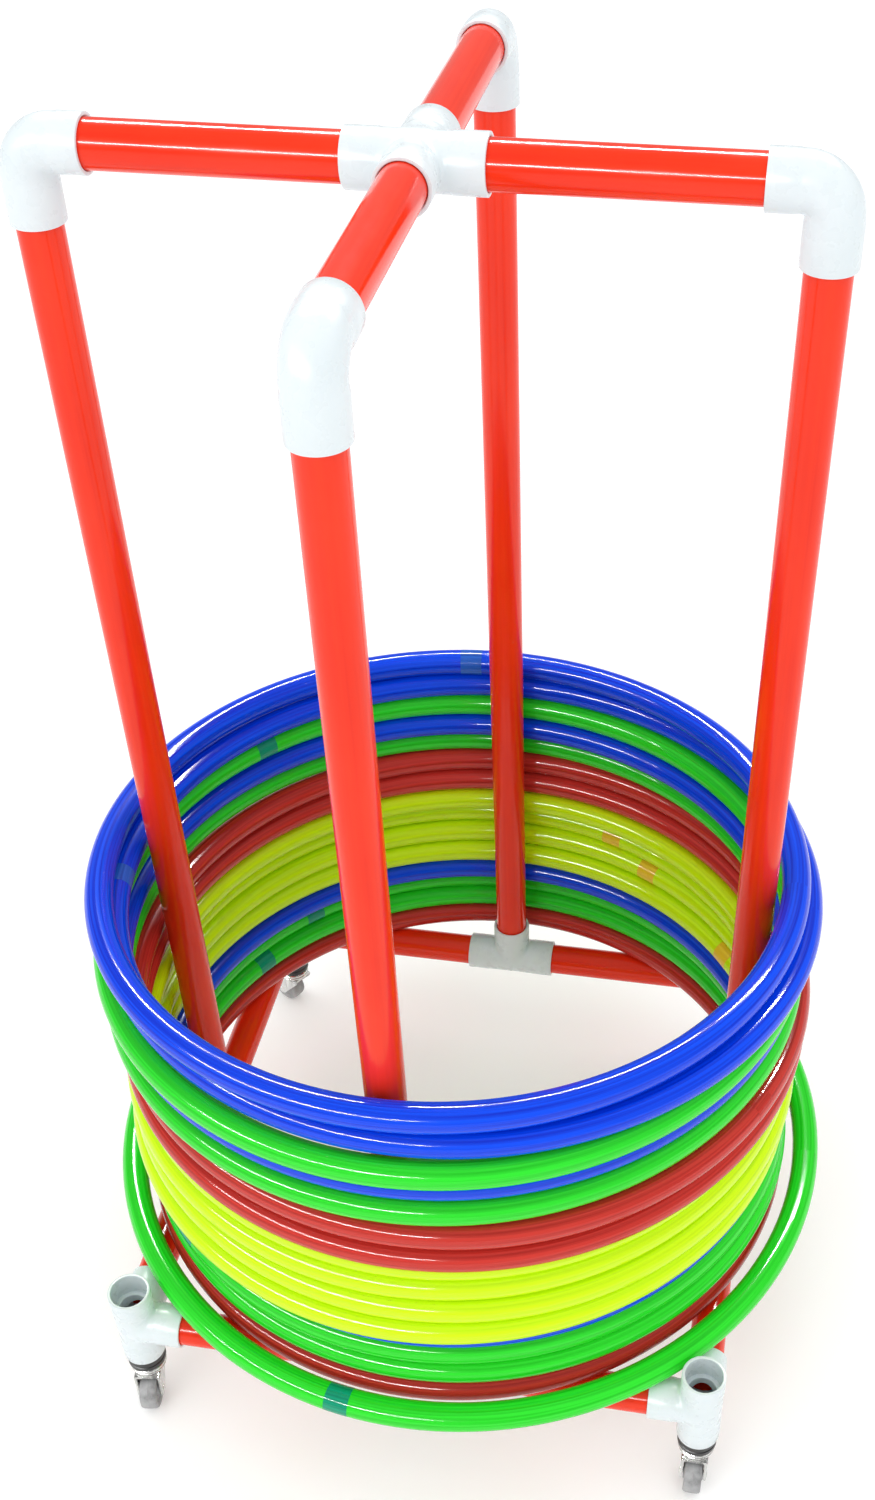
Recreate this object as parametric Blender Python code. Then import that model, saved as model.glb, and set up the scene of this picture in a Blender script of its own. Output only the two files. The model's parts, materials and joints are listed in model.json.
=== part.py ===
"""Rolling storage cart for play hoops, with sixteen hoops on it.

The cart is red plastic pipe pushed into white socket fittings: a square base ring on four
swivel casters, a post from the middle of each side, and four arms that meet in a cross on
top. The hoops lie round the posts, on the base ring.

Metres, +Z up, +X to the cart's right, -Y to its front. The origin is on the floor, under the
middle of the cart.
"""

import math

import bmesh
import bpy
from mathutils import Matrix, Vector

# Clearance between pieces that touch
GAP = 0.0003

# Pipe and socket fittings
PIPE_RADIUS = 0.0167
PIPE_WALL = 0.0034
BRANCH_RADIUS = 0.0200
RUN_RADIUS = 0.0203
CHANNEL_RADIUS = PIPE_RADIUS - PIPE_WALL
BRANCH_CHANNEL_RADIUS = CHANNEL_RADIUS - 0.0002
SOCKET_RADIUS = PIPE_RADIUS + GAP
SOCKET_REACH = 0.048
SOCKET_STOP = 0.022
CUTTER_OVERRUN = 0.004

# Elbows: a bend between a short socket for the arm and a longer one for the post
ELBOW_BEND_RADIUS = 0.022
ELBOW_ARM_REACH = 0.045
ELBOW_ARM_STOP = 0.023
ELBOW_POST_REACH = 0.054
ELBOW_POST_STOP = 0.028
ELBOW_STEPS = 4

# Frame
HALF_SPAN = 0.270
POST_RISE = 1.0025

# Casters
WHEEL_RADIUS = 0.020
WHEEL_BORE = 0.0034
WHEEL_HUB_RADIUS = 0.0070
WHEEL_HALF_HUB = 0.0095
WHEEL_HALF_WEB = 0.0070
WHEEL_HALF_WIDTH = 0.0085
WHEEL_SHOULDER = 0.0020
TRAIL = 0.013
CASTER_HEIGHT = 0.057
INSERT_FLANGE = 0.016
INSERT_RADIUS = 0.0185
INSERT_BORE = 0.0053
INSERT_PLUG = 0.024
RACEWAY_RADIUS = 0.0175
RACEWAY_HEIGHT = 0.0105
STEM_RADIUS = 0.0050
STEM_HEIGHT = 0.032
CROWN_THICKNESS = 0.0025
CROWN_BACK = -0.015
CROWN_FRONT = 0.018
FORK_HALF_WIDTH = 0.0125
LEG_THICKNESS = 0.0025
LEG_END_RADIUS = 0.0075
AXLE_RADIUS = 0.0030
AXLE_HALF_LENGTH = 0.0135

BASE_AXIS = SOCKET_REACH + INSERT_FLANGE + CASTER_HEIGHT
ARM_AXIS = BASE_AXIS + POST_RISE

# Where each caster's wheel trails, in degrees from +X
CASTER_HEADINGS = {
    "front_left": -80,
    "front_right": -90,
    "back_left": 150,
    "back_right": -40,
}

# Hoops
TUBE_RADIUS = 0.0126
STACK_PITCH = 2 * TUBE_RADIUS + GAP
HOOP_RADIUS = 0.310
LOOSE_TUBE_RADIUS = 0.0128

# Each hoop: colour, half width and half depth of its centreline, how far it has slid in x and
# in y, and how many degrees its front stands up. They are flexible, so some are a little oval.
LOOSE_HOOP = ("green", 0.3435, 0.3435, 0.004, 0.001, 0)

# The stack from the bottom up
STACK = [
    ("red", HOOP_RADIUS, HOOP_RADIUS, 0.002, 0.000, 0),
    ("green", HOOP_RADIUS, HOOP_RADIUS, 0.003, 0.003, 0),
    ("green", HOOP_RADIUS, HOOP_RADIUS, 0.000, 0.006, 0),
    ("blue", 0.304, 0.3034, 0.0008, 0.000, 0),
    ("yellow", HOOP_RADIUS, HOOP_RADIUS, -0.001, -0.0065, 0),
    ("yellow", HOOP_RADIUS, HOOP_RADIUS, 0.002, -0.001, 0),
    ("yellow", HOOP_RADIUS, HOOP_RADIUS, -0.002, 0.004, 0),
    ("yellow", 0.304, 0.3034, 0.0008, 0.000, 0.1),
    ("red", HOOP_RADIUS, HOOP_RADIUS, 0.005, -0.003, 0.2),
    ("red", HOOP_RADIUS, HOOP_RADIUS, 0.0065, 0.000, 0.4),
    ("green", HOOP_RADIUS, HOOP_RADIUS, -0.003, 0.002, 0.6),
    ("blue", 0.306, 0.3034, -0.0025, 0.000, 0.8),
    ("green", HOOP_RADIUS, HOOP_RADIUS, -0.002, -0.0045, 1.0),
    ("blue", HOOP_RADIUS, 0.3045, 0.0065, 0.001, 1.2),
    ("blue", 0.308, 0.3045, -0.0045, 0.001, 1.4),
]

# Facets
PIPE_SIDES = 12
WHEEL_SIDES = 20
LEG_ARC_STEPS = 5
HOOP_STEPS = 24
TUBE_SIDES = 8
SMOOTH_LIMIT = math.radians(40)

COLOURS = {
    "pipe_red": ((0.72, 0.035, 0.010), 0.22, 0.0),
    "fitting_white": ((0.80, 0.84, 0.85), 0.28, 0.0),
    "insert_black": ((0.015, 0.015, 0.016), 0.45, 0.0),
    "caster_steel": ((0.62, 0.63, 0.64), 0.25, 1.0),
    "wheel_grey": ((0.33, 0.34, 0.35), 0.55, 0.0),
    "hoop_blue": ((0.010, 0.050, 0.750), 0.20, 0.0),
    "hoop_green": ((0.050, 0.650, 0.060), 0.22, 0.0),
    "hoop_yellow": ((0.550, 0.850, 0.020), 0.22, 0.0),
    "hoop_red": ((0.550, 0.050, 0.035), 0.22, 0.0),
}

SIDES = {"right": 0, "back": 90, "left": 180, "front": 270}
CORNERS = {"back_right": 0, "back_left": 90, "front_left": 180, "front_right": 270}
AXES = {"X": Vector((1, 0, 0)), "Y": Vector((0, 1, 0)), "Z": Vector((0, 0, 1))}


def clear_scene():
    for item in list(bpy.data.objects):
        bpy.data.objects.remove(item, do_unlink=True)


def principled(name):
    colour, roughness, metallic = COLOURS[name]
    material = bpy.data.materials.new(name)
    material.use_nodes = True
    shader = material.node_tree.nodes["Principled BSDF"]
    shader.inputs["Base Color"].default_value = (*colour, 1)
    shader.inputs["Roughness"].default_value = roughness
    shader.inputs["Metallic"].default_value = metallic
    material.diffuse_color = (*colour, 1)
    return material


def place(name, mesh, material, transform=None, parent=None):
    """Link an object for one sub-part. Copies of a piece share their mesh."""
    if not mesh.materials:
        mesh.materials.append(material)
        mesh.shade_smooth()
        mesh.set_sharp_from_angle(angle=SMOOTH_LIMIT)
    item = bpy.data.objects.new(name, mesh)
    bpy.context.collection.objects.link(item)
    item.parent = parent
    item.matrix_basis = transform or Matrix.Identity(4)
    return item


def circle(sides, turn=0.0):
    """Unit circle as exact a polygon as the sides allow, with a corner at the turn."""
    angles = [turn + math.tau * step / sides for step in range(sides)]
    return [(round(math.cos(angle), 12), round(math.sin(angle), 12)) for angle in angles]


def ring(centre, normal, radius, sides=PIPE_SIDES, turn=0.0):
    """Corners of a polygon round a centre, square to a normal in the XZ plane or along Y."""
    across = AXES["Y"] if abs(normal.y) < 0.5 else AXES["X"]
    up = normal.cross(across)
    return [centre + radius * (c * across + s * up) for c, s in circle(sides, turn)]


def skin(rings, closed):
    """Mesh that joins ring to ring, either closed on itself or capped at both ends."""
    build = bmesh.new()
    loops = [[build.verts.new(point) for point in points] for points in rings]
    sides = len(loops[0])
    pairs = list(zip(loops, loops[1:]))
    if closed:
        pairs.append((loops[-1], loops[0]))
    else:
        build.faces.new(loops[0])
        build.faces.new(loops[-1])
    for first, second in pairs:
        for side in range(sides):
            after = (side + 1) % sides
            build.faces.new((first[side], first[after], second[after], second[side]))
    return finished(build)


def finished(build):
    bmesh.ops.recalc_face_normals(build, faces=build.faces)
    mesh = bpy.data.meshes.new("shape")
    build.to_mesh(mesh)
    build.free()
    return mesh


def turned(profile, axis="Z", closed=False, sides=PIPE_SIDES, turn=0.0):
    """Mesh of a profile of (along, radius) points turned about an axis."""
    normal = AXES[axis]
    return skin([ring(along * normal, normal, radius, sides, turn) for along, radius in profile], closed)


def slab(outline, low, high):
    """Outline of (x, z) points made solid between two y values."""
    build = bmesh.new()
    near = [build.verts.new((x, low, z)) for x, z in outline]
    far = [build.verts.new((x, high, z)) for x, z in outline]
    build.faces.new(near)
    build.faces.new(far)
    for start, end in zip(range(len(outline)), [*range(1, len(outline)), 0]):
        build.faces.new((near[start], near[end], far[end], far[start]))
    return finished(build)


def carved(parts, cutters=()):
    """Mesh of the parts joined together, with the cutters taken away."""
    body = bpy.data.objects.new("blank", parts[0])
    bpy.context.collection.objects.link(body)
    steps = [("UNION", mesh) for mesh in parts[1:]] + [("DIFFERENCE", mesh) for mesh in cutters]
    tools = []
    for operation, mesh in steps:
        tool = bpy.data.objects.new("tool", mesh)
        bpy.context.collection.objects.link(tool)
        tools.append(tool)
        boolean = body.modifiers.new(operation, "BOOLEAN")
        boolean.operation = operation
        boolean.solver = "EXACT"
        boolean.object = tool
    depsgraph = bpy.context.evaluated_depsgraph_get()
    mesh = bpy.data.meshes.new_from_object(body.evaluated_get(depsgraph))
    for item in [body, *tools]:
        bpy.data.objects.remove(item, do_unlink=True)
    return mesh


# Socket fittings. A run is open at both ends; a branch leaves the fitting's centre one way.


def run_body(axis):
    return turned([(-SOCKET_REACH, RUN_RADIUS), (SOCKET_REACH, RUN_RADIUS)], axis)


def run_bore(axis):
    reach = SOCKET_REACH + CUTTER_OVERRUN
    half = [(SOCKET_STOP, CHANNEL_RADIUS), (SOCKET_STOP, SOCKET_RADIUS), (reach, SOCKET_RADIUS)]
    return turned([(-along, radius) for along, radius in reversed(half)] + half, axis)


def branch_body(axis, radius=BRANCH_RADIUS):
    return turned([(0, radius), (SOCKET_REACH, radius)], axis)


def branch_bore(axis):
    profile = [
        (0, BRANCH_CHANNEL_RADIUS),
        (SOCKET_STOP, BRANCH_CHANNEL_RADIUS),
        (SOCKET_STOP, SOCKET_RADIUS),
        (SOCKET_REACH + CUTTER_OVERRUN, SOCKET_RADIUS),
    ]
    return turned(profile, axis)


def cross_mesh():
    across = turned([(-SOCKET_REACH, BRANCH_RADIUS), (SOCKET_REACH, BRANCH_RADIUS)], "Y")
    return carved([run_body("X"), across], [run_bore("X"), run_bore("Y")])


def tee_mesh():
    """Run along Y, branch up."""
    return carved([run_body("Y"), branch_body("Z")], [run_bore("Y"), branch_bore("Z")])


def corner_mesh():
    """Upright run, with branches along +X and +Y."""
    parts = [run_body("Z"), branch_body("X"), branch_body("Y")]
    return carved(parts, [run_bore("Z"), branch_bore("X"), branch_bore("Y")])


def bend(radius):
    """Rings of the quarter bend from the arm, which runs along -X, down into the post."""
    centre = Vector((-ELBOW_BEND_RADIUS, 0, -ELBOW_BEND_RADIUS))
    rings = []
    for step in range(ELBOW_STEPS + 1):
        angle = math.pi / 2 * (1 - step / ELBOW_STEPS)
        outward = Vector((math.cos(angle), 0, math.sin(angle)))
        along = Vector((math.sin(angle), 0, -math.cos(angle)))
        rings.append(ring(centre + ELBOW_BEND_RADIUS * outward, along, radius))
    return rings


def elbow_mesh():
    """One wall that goes round the outside of the bend and back through its bore."""

    def arm(distance, radius):
        return ring(Vector((-distance, 0, 0)), AXES["X"], radius)

    def post(distance, radius):
        return ring(Vector((0, 0, -distance)), -AXES["Z"], radius)

    rings = [arm(ELBOW_ARM_REACH, BRANCH_RADIUS)]
    rings += bend(BRANCH_RADIUS)
    rings += [post(ELBOW_POST_REACH, BRANCH_RADIUS), post(ELBOW_POST_REACH, SOCKET_RADIUS)]
    rings += [post(ELBOW_POST_STOP, SOCKET_RADIUS), post(ELBOW_POST_STOP, CHANNEL_RADIUS)]
    rings += reversed(bend(CHANNEL_RADIUS))
    rings += [arm(ELBOW_ARM_STOP, CHANNEL_RADIUS), arm(ELBOW_ARM_STOP, SOCKET_RADIUS)]
    rings += [arm(ELBOW_ARM_REACH, SOCKET_RADIUS)]
    return skin(rings, closed=True)


def pipe_mesh(start, end, axis):
    """Open pipe between two distances along an axis, a gap short of the stop at each end."""
    low, high = start + GAP, end - GAP
    outer, inner = PIPE_RADIUS, CHANNEL_RADIUS
    return turned([(low, outer), (high, outer), (high, inner), (low, inner)], axis, closed=True)


# Casters. The fork is drawn trailing towards +X, with its swivel axis on Z and z = 0 on the floor.


def insert_mesh():
    """Plug that fills the bottom socket, with a flange under the rim and a bore for the stem."""
    flange_top = CASTER_HEIGHT + INSERT_FLANGE - GAP
    plug_top = flange_top + INSERT_PLUG
    profile = [
        (CASTER_HEIGHT, INSERT_BORE),
        (CASTER_HEIGHT, INSERT_RADIUS),
        (flange_top, INSERT_RADIUS),
        (flange_top, PIPE_RADIUS),
        (plug_top, PIPE_RADIUS),
        (plug_top, INSERT_BORE),
    ]
    return turned(profile, closed=True)


def leg_outline():
    """Side of the fork: straight under the crown, tapering to a round end at the axle."""
    crown_top = CASTER_HEIGHT - GAP - RACEWAY_HEIGHT + CROWN_THICKNESS / 2
    outline = [(CROWN_BACK, crown_top), (CROWN_FRONT, crown_top)]
    first, last = math.radians(20), math.radians(-150)
    for step in range(LEG_ARC_STEPS + 1):
        angle = first + (last - first) * step / LEG_ARC_STEPS
        x = TRAIL + LEG_END_RADIUS * math.cos(angle)
        z = WHEEL_RADIUS + LEG_END_RADIUS * math.sin(angle)
        outline.append((x, z))
    outline.append((CROWN_BACK, crown_top - 2 * CROWN_THICKNESS))
    return outline


def fork_mesh():
    """Stem, ball raceway, crown plate, two legs and the axle riveted through them."""
    top = CASTER_HEIGHT - GAP
    raceway_bottom = top - RACEWAY_HEIGHT
    profile = [
        (raceway_bottom, RACEWAY_RADIUS),
        (top, RACEWAY_RADIUS),
        (top, STEM_RADIUS),
        (top + STEM_HEIGHT, STEM_RADIUS),
    ]
    crown = [
        (CROWN_BACK, raceway_bottom - CROWN_THICKNESS / 2),
        (CROWN_FRONT, raceway_bottom - CROWN_THICKNESS / 2),
        (CROWN_FRONT, raceway_bottom + CROWN_THICKNESS / 2),
        (CROWN_BACK, raceway_bottom + CROWN_THICKNESS / 2),
    ]
    inner = FORK_HALF_WIDTH - LEG_THICKNESS
    axle = turned([(-AXLE_HALF_LENGTH, AXLE_RADIUS), (AXLE_HALF_LENGTH, AXLE_RADIUS)], "Y")
    axle.transform(Matrix.Translation((TRAIL, 0, WHEEL_RADIUS)))
    parts = [
        turned(profile),
        slab(crown, -inner - LEG_THICKNESS / 2, inner + LEG_THICKNESS / 2),
        slab(leg_outline(), -FORK_HALF_WIDTH, -inner),
        slab(leg_outline(), inner, FORK_HALF_WIDTH),
        axle,
    ]
    return carved(parts)


def wheel_mesh():
    """Wheel about Y, with a flat of its rim on the floor."""
    rim = WHEEL_RADIUS / math.cos(math.pi / WHEEL_SIDES)
    half = [
        (WHEEL_HALF_HUB, WHEEL_BORE),
        (WHEEL_HALF_HUB, WHEEL_HUB_RADIUS),
        (WHEEL_HALF_WEB, WHEEL_HUB_RADIUS + WHEEL_SHOULDER),
        (WHEEL_HALF_WEB, rim - 3 * WHEEL_SHOULDER),
        (WHEEL_HALF_WIDTH, rim - 2 * WHEEL_SHOULDER),
        (WHEEL_HALF_WIDTH - WHEEL_SHOULDER, rim),
    ]
    profile = half + [(-along, radius) for along, radius in reversed(half)]
    return turned(profile, "Y", closed=True, sides=WHEEL_SIDES, turn=math.pi / WHEEL_SIDES)


def hoop_mesh(half_width, half_depth, tube):
    rings = []
    for c, s in circle(HOOP_STEPS):
        centre = Vector((half_width * c, half_depth * s, 0))
        outward = Vector((half_depth * c, half_width * s, 0)).normalized()
        rings.append([centre + tube * (a * outward + b * AXES["Z"]) for a, b in circle(TUBE_SIDES)])
    return skin(rings, closed=True)


def turn_about_z(degrees, height=0.0):
    return Matrix.Translation((0, 0, height)) @ Matrix.Rotation(math.radians(degrees), 4, "Z")


def build_frame(red, white):
    place("top_cross", cross_mesh(), white, turn_about_z(0, ARM_AXIS))
    arm = pipe_mesh(SOCKET_STOP, HALF_SPAN - ELBOW_ARM_STOP, "X")
    post = pipe_mesh(BASE_AXIS + SOCKET_STOP, ARM_AXIS - ELBOW_POST_STOP, "Z")
    base_pipe = pipe_mesh(SOCKET_STOP, HALF_SPAN - SOCKET_STOP, "Y")
    elbow, tee, corner = elbow_mesh(), tee_mesh(), corner_mesh()
    to_side = Matrix.Translation((HALF_SPAN, 0, 0))
    to_corner = Matrix.Translation((HALF_SPAN, HALF_SPAN, 0)) @ Matrix.Rotation(math.pi, 4, "Z")
    for side, heading in SIDES.items():
        low, high = turn_about_z(heading, BASE_AXIS), turn_about_z(heading, ARM_AXIS)
        place(f"elbow_{side}", elbow, white, high @ to_side)
        place(f"arm_{side}", arm, red, high)
        place(f"post_{side}", post, red, turn_about_z(heading) @ to_side)
        place(f"tee_{side}", tee, white, low @ to_side)
        for half, mirror in (("a", 1), ("b", -1)):
            flip = to_side @ Matrix.Rotation(0 if mirror > 0 else math.pi, 4, "Z")
            place(f"base_pipe_{side}_{half}", base_pipe, red, low @ flip)
    for corner_name, heading in CORNERS.items():
        place(f"corner_{corner_name}", corner, white, turn_about_z(heading, BASE_AXIS) @ to_corner)


def build_casters(black, steel, grey):
    insert, fork, wheel = insert_mesh(), fork_mesh(), wheel_mesh()
    for corner_name, heading in CORNERS.items():
        foot = Matrix.Rotation(math.radians(heading), 4, "Z") @ Vector((HALF_SPAN, HALF_SPAN, 0))
        place(f"caster_insert_{corner_name}", insert, black, Matrix.Translation(foot))
        swivel = bpy.data.objects.new(f"swivel_{corner_name}", None)
        bpy.context.collection.objects.link(swivel)
        swivel.location = foot
        swivel.rotation_euler.z = math.radians(CASTER_HEADINGS[corner_name])
        place(f"caster_fork_{corner_name}", fork, steel, parent=swivel)
        axle = Matrix.Translation((TRAIL, 0, WHEEL_RADIUS))
        place(f"caster_wheel_{corner_name}", wheel, grey, axle, parent=swivel)


def build_hoops(materials):
    """The loose hoop lies on the corner fittings, and the stack stands on the pipes inside it."""
    shapes = {}
    stack_floor = BASE_AXIS + PIPE_RADIUS + GAP + TUBE_RADIUS
    loose_height = BASE_AXIS + BRANCH_RADIUS + GAP + LOOSE_TUBE_RADIUS
    rows = [(LOOSE_HOOP, LOOSE_TUBE_RADIUS, loose_height)]
    for level, hoop in enumerate(STACK):
        rows.append((hoop, TUBE_RADIUS, stack_floor + level * STACK_PITCH))
    for number, (hoop, tube, height) in enumerate(rows):
        colour, half_width, half_depth, slid_x, slid_y, degrees = hoop
        tilt = math.radians(degrees)
        key = (colour, half_width, half_depth, tube)
        shapes[key] = shapes.get(key) or hoop_mesh(half_width, half_depth, tube)
        spot = Matrix.Translation((slid_x, slid_y, height + half_depth * math.sin(tilt)))
        spot = spot @ Matrix.Rotation(-tilt, 4, "X")
        place(f"hoop_{number + 1:02d}_{colour}", shapes[key], materials[f"hoop_{colour}"], spot)


def build():
    clear_scene()
    materials = {name: principled(name) for name in COLOURS}
    build_frame(materials["pipe_red"], materials["fitting_white"])
    build_casters(materials["insert_black"], materials["caster_steel"], materials["wheel_grey"])
    build_hoops(materials)


build()
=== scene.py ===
"""Looks of the hoop storage cart: moulded fittings, extruded pipe, casters and tube hoops.

Every visible piece is built here in mesh code, sits where its CAD node is, and stands for it.
"""

import json
import math

import bmesh
import bpy
from mathutils import Matrix, Vector


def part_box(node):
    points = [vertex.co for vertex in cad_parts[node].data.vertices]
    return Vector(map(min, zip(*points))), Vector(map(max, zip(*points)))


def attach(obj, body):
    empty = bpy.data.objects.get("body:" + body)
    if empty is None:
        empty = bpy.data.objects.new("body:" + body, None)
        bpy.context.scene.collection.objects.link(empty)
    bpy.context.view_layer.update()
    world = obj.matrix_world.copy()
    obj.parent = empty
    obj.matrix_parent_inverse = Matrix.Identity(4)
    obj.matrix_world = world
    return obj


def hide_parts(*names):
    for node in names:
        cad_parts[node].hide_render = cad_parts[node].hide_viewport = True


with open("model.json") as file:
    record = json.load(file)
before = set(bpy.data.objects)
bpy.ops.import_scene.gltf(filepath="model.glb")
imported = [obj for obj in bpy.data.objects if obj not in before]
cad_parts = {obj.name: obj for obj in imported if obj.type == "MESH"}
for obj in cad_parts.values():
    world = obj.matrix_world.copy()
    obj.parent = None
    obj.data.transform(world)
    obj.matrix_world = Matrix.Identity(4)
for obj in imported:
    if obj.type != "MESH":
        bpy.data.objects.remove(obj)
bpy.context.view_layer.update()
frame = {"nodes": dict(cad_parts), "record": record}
RECORD = frame["record"]

X, Y, Z = Vector((1, 0, 0)), Vector((0, 1, 0)), Vector((0, 0, 1))
SIDES = {"right": 0, "back": 90, "left": 180, "front": 270}
CORNERS = {"back_right": 0, "back_left": 90, "front_left": 180, "front_right": 270}
JOINTS = {joint["name"]: joint for joint in RECORD["behaviour"]["joints"]}

# Pipe and fittings, as the CAD has them
PIPE_RADIUS = 0.0167
PIPE_BORE = 0.0133
SOCKET_RADIUS = 0.0170
RIM_RADIUS = 0.0200
HUB_RADIUS = 0.0196
SOCKET_REACH = 0.048
SOCKET_STOP = 0.022
ELBOW_BEND = 0.022
# How far an elbow's sockets reach from its corner, and where their stops are
ELBOW_ARM, ELBOW_ARM_STOP = 0.045, 0.023
ELBOW_POST, ELBOW_POST_STOP = 0.054, 0.028

# Moulded detail of the fittings
RIM_ROUND = 0.0007
LEAD_IN = 0.0006
BAND_LENGTH = 0.0245
BAND_SLOPE = 0.0016
SEAM_BLEND = 0.0032
BRANCH_FOOT = 0.008

# Casters, as the CAD has them
CASTER_TOP = 0.0567
RACE_HEIGHT = 0.0105
RACE_RADIUS = 0.0175
STEM_TOP = 0.0315
STEM_RADIUS = 0.0049
INSERT_FLANGE = 0.0157
INSERT_RADIUS = 0.0185
INSERT_PLUG_RADIUS = 0.0165
INSERT_BORE = 0.0053
FORK_BACK = -0.015
FORK_FRONT = 0.018
FORK_HALF_WIDTH = 0.0125
FORK_SHEET = 0.0025
FORK_EYE_RADIUS = 0.0075
AXLE_RADIUS = 0.0029
# A turned solid closes round a hairline down its axis
AXLE_CORE = 0.0004

# Hoops: tube radius of the loose one on the corners and of those in the stack, and the joining plugs
LOOSE_TUBE = 0.0128
STACK_TUBE = 0.0126
PLUG_LENGTH = 0.022
PLUG_PROUD = 0.00014

# Facets
ROUND_STEPS = 64
TUBE_STEPS = 24
HOOP_STEPS = 192
WHEEL_STEPS = 96
RIVET_STEPS = 32
PIN_STEPS = 24
CORNER_STEPS = 3
SHARP = math.radians(38)

# Studio: how bright the room is as a light, and as what polished pieces reflect
FLOOR_REACH = 14.0
FLOOR_DROP = 0.0005
ROOM_LIGHT = 1.04
ROOM_REFLECTED = 0.40

# Camera: where it stands, its turns in degrees, lens in mm and shift
CAMERA_PLACE = (0.2605, -1.0955, 1.5338)
CAMERA_HEADING = 10.56
CAMERA_PITCH = 46.89
CAMERA_ROLL = -1.03
CAMERA_LENS = 40.85
CAMERA_SHIFT = (-0.0523, 0.0893)


# Materials


class Shader:
    """A Principled material with small helpers for its nodes."""

    def __init__(self, name, roughness=0.3, metallic=0.0, **levels):
        self.material = bpy.data.materials.new(name)
        self.material.use_nodes = True
        self.nodes = self.material.node_tree.nodes
        self.links = self.material.node_tree.links
        self.base = self.nodes["Principled BSDF"]
        self.base.inputs["Roughness"].default_value = roughness
        self.base.inputs["Metallic"].default_value = metallic
        for socket, value in levels.items():
            self.base.inputs[socket.replace("_", " ")].default_value = value
        self.place = self.nodes.new("ShaderNodeTexCoord")

    def noise(self, scale, detail=3.0, stretch=(1, 1, 1), space="UV", roughness=0.5):
        mapping = self.nodes.new("ShaderNodeMapping")
        mapping.inputs["Scale"].default_value = stretch
        self.links.new(self.place.outputs[space], mapping.inputs["Vector"])
        texture = self.nodes.new("ShaderNodeTexNoise")
        texture.inputs["Scale"].default_value = scale
        texture.inputs["Detail"].default_value = detail
        texture.inputs["Roughness"].default_value = roughness
        self.links.new(mapping.outputs["Vector"], texture.inputs["Vector"])
        return texture.outputs["Fac"]

    def ramp(self, factor, *stops):
        """Colours between places along a factor; each stop is (place, colour)."""
        node = self.nodes.new("ShaderNodeValToRGB")
        elements = node.color_ramp.elements
        while len(elements) < len(stops):
            elements.new(0.5)
        for element, (place, colour) in zip(elements, stops):
            element.position = place
            element.color = (*colour, 1)
        self.links.new(factor, node.inputs["Fac"])
        return node.outputs["Color"]

    def spread(self, factor, low, high):
        """A noise's usual span, 0.3 to 0.7, stretched to run from low to high."""
        node = self.nodes.new("ShaderNodeMapRange")
        node.inputs["From Min"].default_value = 0.3
        node.inputs["From Max"].default_value = 0.7
        node.inputs["To Min"].default_value = low
        node.inputs["To Max"].default_value = high
        self.links.new(factor, node.inputs["Value"])
        return node.outputs["Result"]

    def colour(self, output):
        self.links.new(output, self.base.inputs["Base Color"])

    def rough(self, factor, low, high):
        self.links.new(self.spread(factor, low, high), self.base.inputs["Roughness"])

    def bump(self, factor, height):
        node = self.nodes.new("ShaderNodeBump")
        node.inputs["Strength"].default_value = 1.0
        node.inputs["Distance"].default_value = height
        self.links.new(factor, node.inputs["Height"])
        self.links.new(node.outputs["Normal"], self.base.inputs["Normal"])


def pipe_material(name, light, dark):
    """Extruded pipe: faint lighter die lines along it, which also serve as painted highlight lines, and
    handling marks in its gloss.
    """
    shader = Shader(name, Specular_IOR_Level=0.30)
    # Die lines along the pipe, lighter in colour, doubling as painted highlight lines; the same lines make a
    # faint bump
    die_lines_and_painted_highlights = shader.noise(1.0, 2.0, (260, 2.5, 1))
    cloud = shader.noise(14, 4.0, (1, 0.35, 1))
    both = shader.nodes.new("ShaderNodeMath")
    both.operation = "MULTIPLY_ADD"
    both.inputs[1].default_value = 0.45
    shader.links.new(die_lines_and_painted_highlights, both.inputs[0])
    shader.links.new(cloud, both.inputs[2])
    shader.colour(shader.ramp(both.outputs[0], (0.45, dark), (0.95, light)))
    shader.rough(shader.noise(40, 4.0, (1, 0.3, 1)), 0.10, 0.20)
    shader.bump(die_lines_and_painted_highlights, 0.00003)
    return shader.material


def fitting_material():
    """Moulded white plastic: flow clouding and a very fine orange peel."""
    shader = Shader("fitting_white", Specular_IOR_Level=0.4, Subsurface_Weight=0.08)
    shader.base.inputs["Subsurface Radius"].default_value = (0.004, 0.005, 0.006)
    shader.base.inputs["Subsurface Scale"].default_value = 1.0
    cloud = shader.noise(26, 4.0, space="Object")
    stops = ((0.25, (0.69, 0.76, 0.785)), (0.55, (0.72, 0.785, 0.81)), (0.8, (0.74, 0.805, 0.83)))
    shader.colour(shader.ramp(cloud, *stops))
    shader.rough(shader.noise(90, 3.0, space="Object"), 0.22, 0.38)
    shader.bump(shader.noise(900, 2.0, space="Object"), 0.00001)
    return shader.material


def hoop_material(name, light, dark, weight):
    """Thin glossy tube, a little translucent, with lighter and darker streaks along it: painted light and
    shade standing in for light inside the translucent wall, also used as a faint bump.
    """
    shader = Shader(name, Specular_IOR_Level=0.30, Subsurface_Weight=weight)
    shader.base.inputs["Subsurface Radius"].default_value = (0.008, 0.008, 0.008)
    shader.base.inputs["Subsurface Scale"].default_value = 1.0
    # Streaks of painted light and shade along the tube, for the light seen inside its translucent wall
    painted_light_streaks = shader.noise(1.0, 3.0, (420, 3.0, 1))
    shader.colour(shader.ramp(painted_light_streaks, (0.32, dark), (0.62, light)))
    shader.rough(shader.noise(30, 3.0, (1, 0.2, 1)), 0.07, 0.15)
    shader.bump(painted_light_streaks, 0.00004)
    return shader.material


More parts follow.
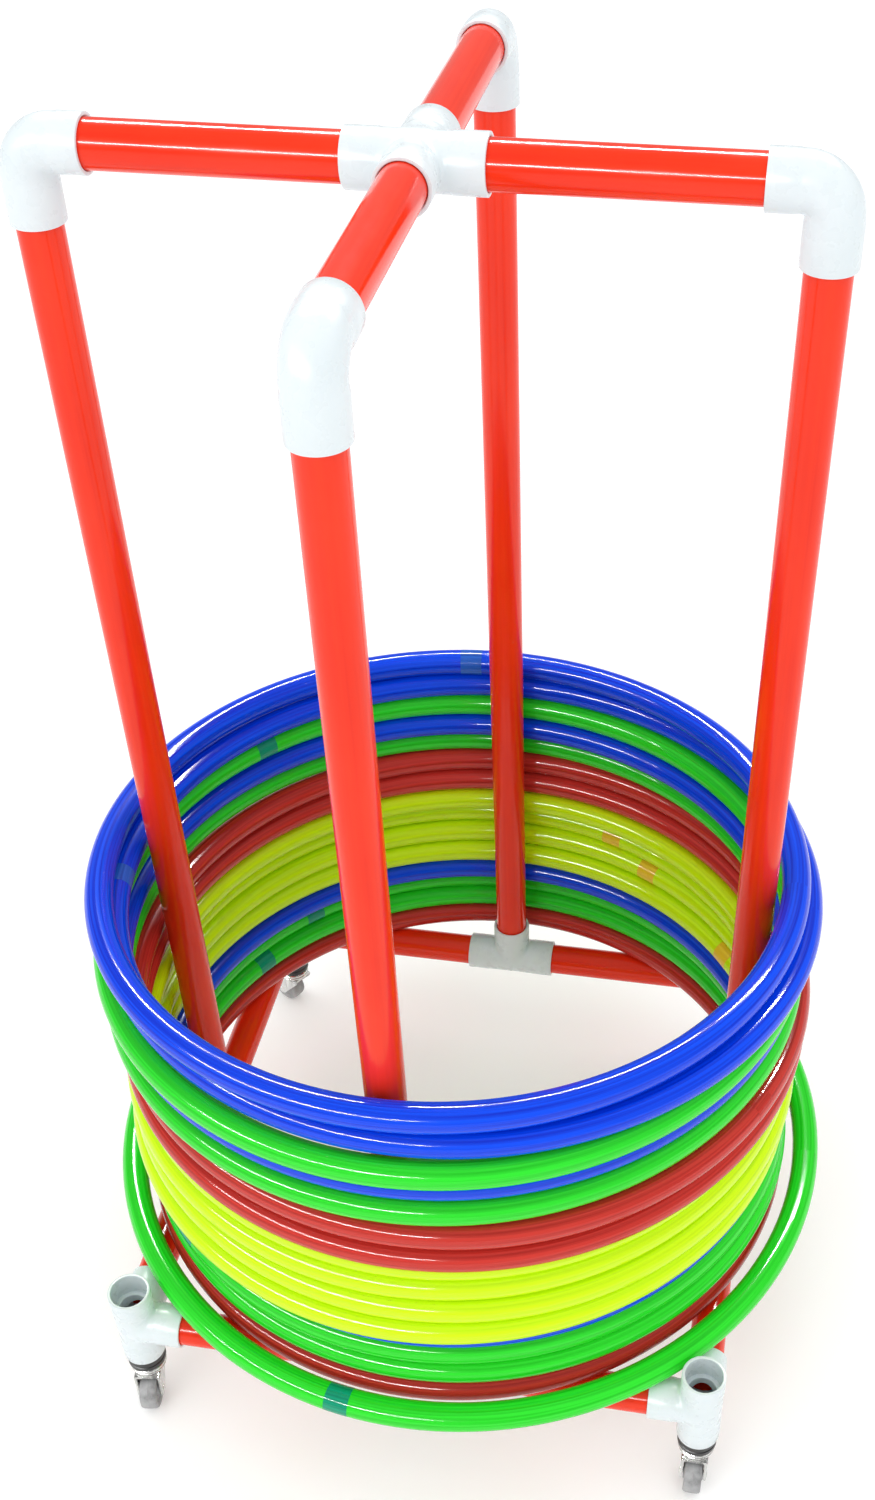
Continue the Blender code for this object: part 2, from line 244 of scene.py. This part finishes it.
def steel_material():
    """Bright plating over pressed steel, with fine scratches."""
    shader = Shader("caster_steel", metallic=1.0)
    marks = shader.noise(240, 5.0, (1, 1, 0.15), "Object")
    shader.colour(shader.ramp(marks, (0.3, (0.52, 0.52, 0.51)), (0.7, (0.82, 0.82, 0.81))))
    shader.rough(marks, 0.14, 0.34)
    shader.bump(marks, 0.00003)
    return shader.material


def rubber_material():
    """Grey moulded tread, scuffed lighter and darker."""
    shader = Shader("wheel_grey", Specular_IOR_Level=0.4)
    scuffs = shader.noise(70, 6.0, space="Object", roughness=0.65)
    stops = ((0.3, (0.20, 0.20, 0.20)), (0.55, (0.36, 0.36, 0.37)), (0.75, (0.46, 0.46, 0.46)))
    shader.colour(shader.ramp(scuffs, *stops))
    shader.rough(scuffs, 0.4, 0.65)
    shader.bump(shader.noise(1100, 3.0, space="Object"), 0.00005)
    return shader.material


def insert_material():
    """Black moulded plastic with a fine grain."""
    shader = Shader("insert_black", Specular_IOR_Level=0.5)
    grain = shader.noise(500, 3.0, space="Object")
    shader.colour(shader.ramp(grain, (0.3, (0.008, 0.008, 0.009)), (0.7, (0.022, 0.022, 0.024))))
    shader.rough(grain, 0.28, 0.45)
    shader.bump(grain, 0.00003)
    return shader.material


MATERIALS = {
    "pipe_red": pipe_material("pipe_red", (0.93, 0.042, 0.007), (0.78, 0.022, 0.004)),
    "fitting_white": fitting_material(),
    "insert_black": insert_material(),
    "caster_steel": steel_material(),
    "wheel_grey": rubber_material(),
    "hoop_blue": hoop_material("hoop_blue", (0.002, 0.075, 0.86), (0.001, 0.022, 0.52), 0.05),
    "hoop_green": hoop_material("hoop_green", (0.030, 0.76, 0.030), (0.012, 0.52, 0.012), 0.12),
    "hoop_yellow": hoop_material("hoop_yellow", (0.66, 0.96, 0.006), (0.52, 0.80, 0.003), 0.12),
    "hoop_red": hoop_material("hoop_red", (0.62, 0.042, 0.030), (0.38, 0.016, 0.012), 0.12),
    "plug_teal": hoop_material("plug_teal", (0.006, 0.36, 0.20), (0.003, 0.22, 0.12), 0.05),
    "plug_orange": hoop_material("plug_orange", (0.86, 0.60, 0.03), (0.74, 0.46, 0.02), 0.05),
    "plug_blue": hoop_material("plug_blue", (0.02, 0.14, 0.62), (0.01, 0.08, 0.42), 0.05),
}


# Mesh building


def unit_circle(steps):
    return [(math.cos(math.tau * step / steps), math.sin(math.tau * step / steps)) for step in range(steps)]


def frame_for(normal):
    """Two unit vectors across a normal, right-handed with it."""
    across = Y if abs(normal.dot(Y)) < 0.7 else X
    first = (across - normal * across.dot(normal)).normalized()
    return first, normal.cross(first)


def skin(rings, closed, along, around):
    """Mesh that joins ring to ring. along and around are the UV lengths, in metres."""
    build = bmesh.new()
    layer = build.loops.layers.uv.new("UVMap")
    loops = [[build.verts.new(point) for point in ring] for ring in rings]
    sides = len(rings[0])
    count = len(rings) if closed else len(rings) - 1
    for row in range(count):
        first, second = loops[row], loops[(row + 1) % len(rings)]
        for side in range(sides):
            after = (side + 1) % sides
            face = build.faces.new((first[side], first[after], second[after], second[side]))
            low, high = around * side / sides, around * (side + 1) / sides
            start, end = along[row], along[row + 1]
            for loop, uv in zip(face.loops, ((low, start), (high, start), (high, end), (low, end))):
                loop[layer].uv = uv
    if not closed:
        build.faces.new(loops[0])
        build.faces.new(loops[-1])
    return finished(build)


def finished(build):
    bmesh.ops.recalc_face_normals(build, faces=build.faces)
    mesh = bpy.data.meshes.new("shape")
    build.to_mesh(mesh)
    build.free()
    return mesh


def turned(profile, centre=Vector(), normal=Z, steps=ROUND_STEPS):
    """Mesh of a closed profile of (along, radius) points turned about an axis."""
    first, second = frame_for(normal)
    rings = []
    for along, radius in profile:
        spot = centre + normal * along
        rings.append([spot + radius * (c * first + s * second) for c, s in unit_circle(steps)])
    lengths = [0.0]
    for start, end in zip(profile, profile[1:] + profile[:1]):
        lengths.append(lengths[-1] + math.dist(start, end))
    return skin(rings, True, lengths, math.tau * max(radius for _, radius in profile))


def rounded(profile, radius):
    """The same closed profile with each corner cut back to an arc of about this radius."""
    result = []
    for index, point in enumerate(profile):
        here = Vector(point)
        before = Vector(profile[index - 1])
        after = Vector(profile[(index + 1) % len(profile)])
        reach = min(radius, 0.45 * (before - here).length, 0.45 * (after - here).length)
        start = here + (before - here).normalized() * reach
        end = here + (after - here).normalized() * reach
        for step in range(CORNER_STEPS + 1):
            t = step / CORNER_STEPS
            spot = start * (1 - t) ** 2 + here * 2 * t * (1 - t) + end * t * t
            result.append((spot.x, spot.y))
    return result


def piece(name, mesh, body, slot, nodes=(), material=None, place=None):
    """One visible piece: its mesh, what it rides on, and the CAD nodes it stands for."""
    # Alike pieces share a mesh, which is coloured and smoothed once
    if not mesh.materials:
        mesh.materials.append(MATERIALS[material or slot])
        mesh.shade_smooth()
        mesh.set_sharp_from_angle(angle=SHARP)
    item = bpy.data.objects.new(name, mesh)
    bpy.context.collection.objects.link(item)
    item.matrix_world = place or Matrix.Identity(4)
    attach(item, body)
    if nodes:
        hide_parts(*nodes)


def turn_z(degrees):
    return Matrix.Rotation(math.radians(degrees), 4, "Z")


def middle(name):
    """Middle of a CAD node's box."""
    low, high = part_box(name)
    return (low + high) / 2


# Pipes


def build_pipes():
    names = [f"{kind}_{side}" for kind in ("arm", "post") for side in SIDES]
    names += [f"base_pipe_{side}_{half}" for side in SIDES for half in ("a", "b")]
    for name in names:
        low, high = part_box(name)
        size = high - low
        axis = max(range(3), key=lambda index: size[index])
        normal = (X, Y, Z)[axis]
        length = size[axis]
        profile = [
            (-length / 2, PIPE_RADIUS),
            (length / 2, PIPE_RADIUS),
            (length / 2, PIPE_BORE),
            (-length / 2, PIPE_BORE),
        ]
        piece(f"{name}_pipe", turned(profile, middle(name), normal), "cart", "pipe_red", [name])


# Fittings: arms that leave a centre, joined where their skins cross


def seam(axis, across, directions, radius):
    """How far along an arm its skin starts, at one place round it."""
    reach = 0.0
    for other in directions:
        if abs(other.dot(axis)) < 0.5:
            reach = max(reach, radius * other.dot(across))
    return reach


def blended(point, runs, branches):
    """Signed distance to the arms' skins, smoothed where they meet."""
    distances = []
    for axis in runs:
        distances.append((point - axis * point.dot(axis)).length - HUB_RADIUS)
    for axis in branches:
        along = max(BRANCH_FOOT, point.dot(axis))
        distances.append((point - axis * along).length - HUB_RADIUS)
    total = distances[0]
    for value in distances[1:]:
        close = max(SEAM_BLEND - abs(total - value), 0.0) / SEAM_BLEND
        total = min(total, value) - close * close * SEAM_BLEND / 4
    return total


def settle(point, runs, branches):
    """The point moved out onto the smoothed skin."""
    nudge, near_enough, flat = 1e-5, 1e-6, 0.05
    for _ in range(4):
        value = blended(point, runs, branches)
        if value > -near_enough:
            break
        rises = [blended(point + nudge * axis, runs, branches) - value for axis in (X, Y, Z)]
        slope = Vector(rises) / nudge
        if slope.length < flat:
            break
        point = point - slope * (value / slope.length_squared)
    return point


# Where an arm's thicker band starts, and how its rows of points are shared out from the seam to there
SHOULDER = SOCKET_REACH - BAND_LENGTH
SEAM_ROWS = (0, 0.05, 0.11, 0.18, 0.27, 0.38, 0.52, 0.68, 0.84, 1)

# (reach, radius) along an arm's band to its rim, then back inside past the pipe's stop
SOCKET_PROFILE = [
    (SHOULDER + BAND_SLOPE, RIM_RADIUS),
    (SOCKET_REACH - RIM_ROUND, RIM_RADIUS),
    (SOCKET_REACH - 0.3 * RIM_ROUND, RIM_RADIUS - 0.3 * RIM_ROUND),
    (SOCKET_REACH, RIM_RADIUS - RIM_ROUND),
    (SOCKET_REACH, SOCKET_RADIUS + LEAD_IN),
    (SOCKET_REACH - LEAD_IN, SOCKET_RADIUS + 0.0001),
    (SOCKET_REACH - 0.006, SOCKET_RADIUS),
    (SOCKET_STOP, SOCKET_RADIUS),
    (SOCKET_STOP, PIPE_BORE + LEAD_IN),
    (SOCKET_STOP - LEAD_IN, PIPE_BORE),
]


def arm_column(axis, across, directions, runs, branches):
    """Points along an arm at one place round it: seam, shoulder, rim, socket and bore."""
    start = seam(axis, across, directions, HUB_RADIUS)
    column = []
    for share in SEAM_ROWS:
        point = axis * (start + (SHOULDER - start) * share) + across * HUB_RADIUS
        column.append(settle(point, runs, branches))
    column += [axis * along + across * radius for along, radius in SOCKET_PROFILE]
    inside = seam(axis, across, directions, PIPE_BORE)
    for share in (0.5, 1.0):
        column.append(axis * (SOCKET_STOP + (inside - SOCKET_STOP) * share) + across * PIPE_BORE)
    return column


def fitting_mesh(runs, branches):
    """Hollow fitting with an arm each way along each run, and one along each branch."""
    directions = [sign * axis for axis in runs for sign in (1, -1)] + list(branches)
    build = bmesh.new()
    layer = build.loops.layers.uv.new("UVMap")
    for axis in directions:
        third = next(other for other in (X, Y, Z) if abs(other.dot(axis)) < 0.5)
        second = axis.cross(third)
        columns = []
        for c, s in unit_circle(ROUND_STEPS):
            across = (c * third + s * second).normalized()
            column = arm_column(axis, across, directions, runs, branches)
            columns.append([build.verts.new(point) for point in column])
        for index, column in enumerate(columns):
            beside = columns[(index + 1) % len(columns)]
            for row in range(len(column) - 1):
                face = build.faces.new((column[row], beside[row], beside[row + 1], column[row + 1]))
                for loop in face.loops:
                    loop[layer].uv = (0.002 * index, loop.vert.co.dot(axis))
    bmesh.ops.remove_doubles(build, verts=build.verts, dist=1e-5)
    return finished(build)


def elbow_leg(out, normal, rows):
    """Stations (centre, normal, radius) down one leg, from (distance, radius) rows."""
    return [(out * distance, normal, radius) for distance, radius in rows]


def elbow_bend(radius, steps):
    """Stations round the quarter turn from the arm's leg to the post's."""
    centre = Vector((-ELBOW_BEND, 0, -ELBOW_BEND))
    stations = []
    for step in range(steps + 1):
        angle = math.pi / 2 * (1 - step / steps)
        c, s = math.cos(angle), math.sin(angle)
        stations.append((centre + ELBOW_BEND * Vector((c, 0, s)), Vector((s, 0, -c)), radius))
    return stations


def elbow_mesh():
    """Elbow at the origin: the arm's socket opens along -X, and the post's down."""
    neck = ELBOW_BEND + 0.0015
    band = ELBOW_BEND + 0.0035
    arm_outside = [
        (ELBOW_ARM, RIM_RADIUS - RIM_ROUND),
        (ELBOW_ARM - 0.3 * RIM_ROUND, RIM_RADIUS - 0.3 * RIM_ROUND),
        (ELBOW_ARM - RIM_ROUND, RIM_RADIUS),
        (band, RIM_RADIUS),
        (neck, HUB_RADIUS),
    ]
    post_all = [
        (neck, HUB_RADIUS),
        (band, RIM_RADIUS),
        (ELBOW_POST - RIM_ROUND, RIM_RADIUS),
        (ELBOW_POST - 0.3 * RIM_ROUND, RIM_RADIUS - 0.3 * RIM_ROUND),
        (ELBOW_POST, RIM_RADIUS - RIM_ROUND),
        (ELBOW_POST, SOCKET_RADIUS + LEAD_IN),
        (ELBOW_POST - LEAD_IN, SOCKET_RADIUS),
        (ELBOW_POST_STOP, SOCKET_RADIUS),
        (ELBOW_POST_STOP, PIPE_BORE),
    ]
    arm_inside = [
        (ELBOW_ARM_STOP, PIPE_BORE),
        (ELBOW_ARM_STOP, SOCKET_RADIUS),
        (ELBOW_ARM - LEAD_IN, SOCKET_RADIUS),
        (ELBOW_ARM, SOCKET_RADIUS + LEAD_IN),
    ]
    stations = elbow_leg(-X, X, arm_outside) + elbow_bend(HUB_RADIUS, 20)
    stations += elbow_leg(-Z, -Z, post_all)
    stations += reversed(elbow_bend(PIPE_BORE, 10))
    stations += elbow_leg(-X, X, arm_inside)
    rings, lengths = [], [0.0]
    for index, (centre, normal, radius) in enumerate(stations):
        second = normal.cross(Y)
        rings.append([centre + radius * (c * Y + s * second) for c, s in unit_circle(ROUND_STEPS)])
        following = stations[(index + 1) % len(stations)][0]
        lengths.append(lengths[-1] + max((following - centre).length, 0.0002))
    return skin(rings, True, lengths, math.tau * HUB_RADIUS)


def build_fittings():
    top = middle("top_cross")
    spot = Matrix.Translation(top)
    piece("top_cross_fitting", fitting_mesh([X, Y], []), "cart", "fitting_white", ["top_cross"], place=spot)
    elbow, tee, corner = elbow_mesh(), fitting_mesh([Y], [Z]), fitting_mesh([Z], [X, Y])
    for side, heading in SIDES.items():
        post = middle(f"post_{side}")
        spot = Matrix.Translation((post.x, post.y, top.z)) @ turn_z(heading)
        piece(f"elbow_{side}_fitting", elbow, "cart", "fitting_white", [f"elbow_{side}"], place=spot)
        tee_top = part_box(f"tee_{side}")[1].z
        spot = Matrix.Translation((post.x, post.y, tee_top - SOCKET_REACH)) @ turn_z(heading)
        piece(f"tee_{side}_fitting", tee, "cart", "fitting_white", [f"tee_{side}"], place=spot)
    for name, heading in CORNERS.items():
        insert = middle(f"caster_insert_{name}")
        level = middle(f"corner_{name}").z
        spot = Matrix.Translation((insert.x, insert.y, level)) @ turn_z(heading + 180)
        piece(f"corner_{name}_fitting", corner, "cart", "fitting_white", [f"corner_{name}"], place=spot)


# Casters


def joined(*parts):
    """One mesh holding several closed shells."""
    build = bmesh.new()
    build.loops.layers.uv.new("UVMap")
    for mesh in parts:
        build.from_mesh(mesh)
    mesh = bpy.data.meshes.new("shape")
    build.to_mesh(mesh)
    build.free()
    return mesh


def bevelled_slab(outline, thickness, edge):
    """Plate of (x, z) points, square to Y, with its edges rounded."""
    build = bmesh.new()
    near = [build.verts.new((x, -thickness / 2, z)) for x, z in outline]
    far = [build.verts.new((x, thickness / 2, z)) for x, z in outline]
    build.faces.new(near)
    build.faces.new(far)
    for start in range(len(outline)):
        end = (start + 1) % len(outline)
        build.faces.new((near[start], near[end], far[end], far[start]))
    bmesh.ops.recalc_face_normals(build, faces=build.faces)
    rims = [corner for corner in build.edges if corner.calc_face_angle(0) > math.radians(60)]
    bmesh.ops.bevel(build, geom=rims, offset=edge, segments=2, affect="EDGES", clamp_overlap=True)
    return finished(build)


def insert_mesh(low, high):
    """Black plug: a grooved flange under the rim, and the plug inside the socket."""
    flange = low + INSERT_FLANGE
    outer, groove = INSERT_RADIUS - 0.0001, INSERT_RADIUS - 0.0008
    profile = [
        (low, INSERT_BORE),
        (low, outer - 0.0012),
        (low + 0.0012, outer),
        (low + 0.0056, outer),
        (low + 0.0062, groove),
        (low + 0.0080, groove),
        (low + 0.0086, outer),
        (flange - 0.0005, outer),
        (flange, outer - 0.0005),
        (flange, INSERT_PLUG_RADIUS),
        (high - 0.001, INSERT_PLUG_RADIUS),
        (high, INSERT_PLUG_RADIUS - 0.001),
        (high, INSERT_BORE),
    ]
    return turned(profile)


def race_mesh(low):
    """Ball race over the fork's crown, grooved round its middle."""
    inner, shoulder = 0.0050, RACE_RADIUS - 0.0025
    profile = [
        (low, inner),
        (low, shoulder),
        (low + 0.0030, RACE_RADIUS),
        (low + 0.0050, RACE_RADIUS),
        (low + 0.0056, RACE_RADIUS - 0.0010),
        (low + 0.0062, RACE_RADIUS),
        (low + 0.0085, RACE_RADIUS),
        (CASTER_TOP, shoulder),
        (CASTER_TOP, inner),
    ]
    return turned(rounded(profile, 0.0006))


def stem_mesh(race_low):
    """Stem up through the race into the insert, with its riveted head under the crown."""
    core, head, top = 0.0005, 0.0060, CASTER_TOP + STEM_TOP
    profile = [
        (race_low - 0.0015, core),
        (race_low - 0.0015, head),
        (race_low + 0.0005, head),
        (race_low + 0.0005, STEM_RADIUS),
        (top, STEM_RADIUS),
        (top, core),
    ]
    return turned(rounded(profile, 0.0004))


def crown_mesh(level):
    """Top of the fork: a plate across Y with its long edges rolled down, open below."""
    edge, slope, flat = FORK_HALF_WIDTH, FORK_HALF_WIDTH - 0.0012, FORK_HALF_WIDTH - 0.0025
    lip = FORK_HALF_WIDTH - 0.0022
    section = [
        (-edge, -0.0020),
        (-edge, 0.0),
        (-slope, 0.0011),
        (-flat, 0.00125),
        (flat, 0.00125),
        (slope, 0.0011),
        (edge, 0.0),
        (edge, -0.0020),
        (lip, -0.0018),
        (-lip, -0.0018),
    ]
    build = bmesh.new()
    build.loops.layers.uv.new("UVMap")
    back, front = ([build.verts.new((x, y, level + z)) for y, z in section] for x in (FORK_BACK, FORK_FRONT))
    for start in range(len(section)):
        end = (start + 1) % len(section)
        build.faces.new((back[start], back[end], front[end], front[start]))
    build.faces.new(back)
    build.faces.new(front)
    return finished(build)


def leg_outline(trail, axle_height, top):
    """(x, z) outline of a leg: level along the crown, narrowing to a round eye at the axle."""
    outline = [(FORK_BACK, top), (FORK_FRONT, top)]
    for degrees in range(20, -151, -10):
        c, s = math.cos(math.radians(degrees)), math.sin(math.radians(degrees))
        outline.append((trail + FORK_EYE_RADIUS * c, axle_height + FORK_EYE_RADIUS * s))
    outline.append((FORK_BACK, top - 0.004))
    return outline


def rivet_mesh(side):
    """Domed head of the axle outside one leg."""
    inside, face, head = 0.0120, 0.0135, 0.0042
    profile = [
        (inside, AXLE_CORE),
        (face, AXLE_CORE),
        (face, 0.0026),
        (0.0128, head),
        (inside, head),
    ]
    return turned(rounded(profile, 0.0005), normal=Y * side, steps=RIVET_STEPS)


def pin_mesh():
    """Axle between the legs."""
    half = 0.0122
    profile = [(-half, AXLE_CORE), (-half, AXLE_RADIUS), (half, AXLE_RADIUS), (half, AXLE_CORE)]
    return turned(profile, normal=Y, steps=PIN_STEPS)


def moved(mesh, place):
    """The same mesh, shifted to a place."""
    mesh.transform(Matrix.Translation(place))
    return mesh


def fork_mesh(trail, axle_height):
    """Stem, grooved ball race, crown and two legs, with the riveted axle."""
    race_low = CASTER_TOP - RACE_HEIGHT
    axle = (trail, 0, axle_height)
    outline = leg_outline(trail, axle_height, race_low + 0.00025)
    parts = [race_mesh(race_low), stem_mesh(race_low)]
    for side in (1, -1):
        leg = bevelled_slab(outline, FORK_SHEET, 0.0006)
        parts.append(moved(leg, (0, side * (FORK_HALF_WIDTH - FORK_SHEET / 2), 0)))
        parts.append(moved(rivet_mesh(side), axle))
    parts.append(crown_mesh(race_low))
    parts.append(moved(pin_mesh(), axle))
    return joined(*parts)


def wheel_mesh(radius):
    """Wheel about its own Y: bored hub, dished web, and a crowned tread with a mould line."""
    half = [
        (0.0095, 0.0034),
        (0.0095, 0.0068),
        (0.0088, 0.0074),
        (0.0062, 0.0086),
        (0.0060, radius - 0.0070),
        (0.0076, radius - 0.0058),
        (0.0082, radius - 0.0042),
        (0.0084, radius - 0.0026),
        (0.0076, radius - 0.0010),
        (0.0055, radius - 0.0003),
        (0.0020, radius - 0.0001),
        (0.0004, radius - 0.0001),
        (0.0002, radius),
    ]
    profile = half + [(-along, across) for along, across in reversed(half)]
    return turned(profile, normal=Y, steps=WHEEL_STEPS)


def build_casters():
    for name in CORNERS:
        low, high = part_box(f"caster_insert_{name}")
        foot = Vector(((low.x + high.x) / 2, (low.y + high.y) / 2, 0))
        at_foot = Matrix.Translation(foot)
        insert = insert_mesh(low.z, high.z)
        piece(f"caster_insert_{name}_plug", insert, "cart", "insert_black", [f"caster_insert_{name}"],
              place=at_foot)
        axle = Vector(JOINTS[f"roll_{name}"]["pos_m"])
        away = Vector((axle.x, axle.y, 0)) - foot
        spin = Matrix.Rotation(math.atan2(away.y, away.x), 4, "Z")
        fork = fork_mesh(away.length, axle.z)
        piece(f"caster_fork_{name}_press", fork, f"caster_{name}", "caster_steel", [f"caster_fork_{name}"],
              place=at_foot @ spin)
        wheel = wheel_mesh(axle.z)
        piece(f"caster_wheel_{name}_tread", wheel, f"wheel_{name}", "wheel_grey", [f"caster_wheel_{name}"],
              place=Matrix.Translation(axle) @ spin)


# Hoops

# The joining plugs: their material, and their places round the hoop in degrees
PLUGS = {
    "hoop_01_green": ("plug_teal", (261,)),
    "hoop_02_red": ("hoop_red", (20,)),
    "hoop_03_green": ("plug_teal", (149.5,)),
    "hoop_04_green": ("plug_teal", (135.5, 226)),
    "hoop_05_blue": ("plug_blue", (10,)),
    "hoop_06_yellow": ("plug_orange", (36,)),
    "hoop_07_yellow": ("plug_orange", (60,)),
    "hoop_08_yellow": ("plug_orange", (68,)),
    "hoop_09_yellow": ("plug_orange", (20,)),
    "hoop_10_red": ("hoop_red", (20,)),
    "hoop_11_red": ("hoop_red", (335,)),
    "hoop_12_green": ("plug_teal", (8,)),
    "hoop_13_blue": ("plug_blue", (350,)),
    "hoop_14_green": ("plug_teal", (140,)),
    "hoop_15_blue": ("plug_blue", (190,)),
    "hoop_16_blue": ("plug_blue", (97,)),
}
# One end of a plug up to its middle, as (share of its length, how far under its crown)
PLUG_EDGE = [(0, 0.0004), (0, 0.00005), (0.02, 0), (0.25, 0), (0.5, 0)]


def hoop_rings(half_width, half_depth, spots):
    """Rings of a tube bent round an oval, from (angle, tube radius) spots along it."""
    rings, lengths = [], []
    for angle, tube in spots:
        c, s = math.cos(angle), math.sin(angle)
        centre = Vector((half_width * c, half_depth * s, 0))
        outward = Vector((half_depth * c, half_width * s, 0)).normalized()
        rings.append([centre + tube * (a * outward + b * Z) for a, b in unit_circle(TUBE_STEPS)])
        lengths.append(half_width * (angle - spots[0][0]))
    return rings, lengths


def build_hoops():
    for name in [node for node in frame["nodes"] if node.startswith("hoop_")]:
        low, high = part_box(name)
        size = high - low
        tube = LOOSE_TUBE if name == "hoop_01_green" else STACK_TUBE
        half_width, half_depth = size.x / 2 - tube, size.y / 2 - tube
        tilt = math.asin(max(0.0, size.z / 2 - tube) / half_depth)
        spot = Matrix.Translation((low + high) / 2) @ Matrix.Rotation(-tilt, 4, "X")
        spots = [(math.tau * step / HOOP_STEPS, tube) for step in range(HOOP_STEPS)]
        rings, lengths = hoop_rings(half_width, half_depth, spots)
        mesh = skin(rings, True, [*lengths, math.tau * half_width], math.tau * tube)
        slot = "hoop_" + name.split("_")[2]
        piece(f"{name}_tube", mesh, name, slot, [name], place=spot)
        material, places = PLUGS[name]
        sweep = PLUG_LENGTH / half_width
        shares = PLUG_EDGE + [(1 - share, inset) for share, inset in reversed(PLUG_EDGE[:-1])]
        for number, degrees in enumerate(places):
            start = math.radians(degrees) - sweep / 2
            spots = [(start + sweep * share, tube + PLUG_PROUD - inset) for share, inset in shares]
            rings, lengths = hoop_rings(half_width, half_depth, spots)
            band = skin(rings, False, lengths, math.tau * tube)
            piece(f"{name}_plug_{number + 1}", band, name, slot, material=material, place=spot)


# Stage


def plain(name, colour, roughness, glow):
    """Even material for the studio floor, which glows a little."""
    shader = Shader(name, roughness=roughness, Specular_IOR_Level=0.1, Emission_Strength=glow)
    shader.base.inputs["Emission Color"].default_value = (1, 1, 1, 1)
    shader.base.inputs["Base Color"].default_value = (*colour, 1)
    return shader.material


def area_light(name, place, target, size, power, glossy=True, diffuse=True):
    data = bpy.data.lights.new(name, "AREA")
    data.shape = "RECTANGLE"
    data.size, data.size_y = size
    data.energy = power
    light = bpy.data.objects.new(name, data)
    bpy.context.collection.objects.link(light)
    light.location = place
    light.rotation_euler = (Vector(target) - Vector(place)).to_track_quat("-Z", "Y").to_euler()
    light.visible_camera = False
    light.visible_glossy = glossy
    light.visible_diffuse = diffuse
    light.visible_transmission = False


def build_stage():
    build = bmesh.new()
    bmesh.ops.create_grid(build, x_segments=8, y_segments=8, size=FLOOR_REACH)
    floor = bpy.data.objects.new("floor", finished(build))
    floor.data.materials.append(plain("floor_pale", (0.93, 0.93, 0.93), 0.9, glow=0.14))
    bpy.context.collection.objects.link(floor)
    floor.location.z = -FLOOR_DROP

    world = bpy.data.worlds.new("studio")
    world.use_nodes = True
    background = world.node_tree.nodes["Background"]
    background.inputs["Color"].default_value = (1, 1, 1, 1)
    # Polished pieces reflect a dimmer room than the one that lights them
    rays = world.node_tree.nodes.new("ShaderNodeLightPath")
    level = world.node_tree.nodes.new("ShaderNodeMapRange")
    level.inputs["To Min"].default_value = ROOM_LIGHT
    level.inputs["To Max"].default_value = ROOM_REFLECTED
    world.node_tree.links.new(rays.outputs["Is Glossy Ray"], level.inputs["Value"])
    world.node_tree.links.new(level.outputs["Result"], background.inputs["Strength"])
    bpy.context.scene.world = world

    area_light("overhead_box", (0.3, -0.2, 3.6), (0, 0, 0.4), size=(3.4, 3.4), power=22, glossy=False)
    area_light("front_box", (-1.6, -2.6, 2.6), (0, 0, 0.5), size=(2.2, 2.2), power=16, glossy=False)
    # Long thin lights that only show as highlights along the pipes and hoops
    area_light("back_strip", (0.0, 2.3, 3.6), (0, 0, 0.5), size=(4.5, 0.16), power=560, diffuse=False)
    area_light("front_strip", (-2.6, -4.2, 3.2), (0, 0, 0.8), size=(6.4, 0.14), power=520, diffuse=False)


def build_camera():
    data = bpy.data.cameras.new("camera")
    data.lens = CAMERA_LENS
    data.sensor_width = 36.0
    data.shift_x, data.shift_y = CAMERA_SHIFT
    data.clip_end = 60.0
    camera = bpy.data.objects.new("camera", data)
    bpy.context.collection.objects.link(camera)
    pitch = Matrix.Rotation(math.radians(CAMERA_PITCH), 4, "X")
    turn = turn_z(CAMERA_HEADING) @ pitch @ turn_z(CAMERA_ROLL)
    camera.matrix_world = Matrix.Translation(CAMERA_PLACE) @ turn
    bpy.context.scene.camera = camera


bpy.context.scene.view_settings.view_transform = "Standard"
build_camera()
build_stage()
build_pipes()
build_fittings()
build_casters()
build_hoops()
